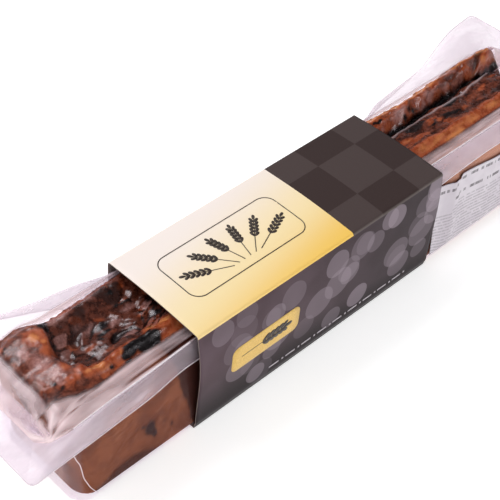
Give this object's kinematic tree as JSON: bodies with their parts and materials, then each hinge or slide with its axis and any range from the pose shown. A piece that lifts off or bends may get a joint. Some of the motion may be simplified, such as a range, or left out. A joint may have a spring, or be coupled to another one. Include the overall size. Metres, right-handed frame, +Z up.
{
  "type": "packed pate en croute",
  "caption": "Long baked pate loaf in a crust, sealed in clear formed film and held in an open printed card sleeve, with a paper label beside the sleeve.",
  "frame": {"origin": "on the floor under the middle of the film pack's outline, where the sleeve's underside rests", "axes": "+X along the loaf towards the labelled end, +Y towards the film's broad rim, +Z up"},
  "size_m": [0.305, 0.0746, 0.051],
  "materials": {
    "crust": "baked crust, brown and moist, glossy under the film",
    "clear_film": "clear formed film, glossy and faintly lilac",
    "printed_card": "smooth printed card with a satin coat",
    "label_paper": "matt printed paper"
  },
  "bodies": {
    "root": {"loaf": "crust", "film": "clear_film", "sleeve": "printed_card", "label": "label_paper"}
  },
  "joints": []
}
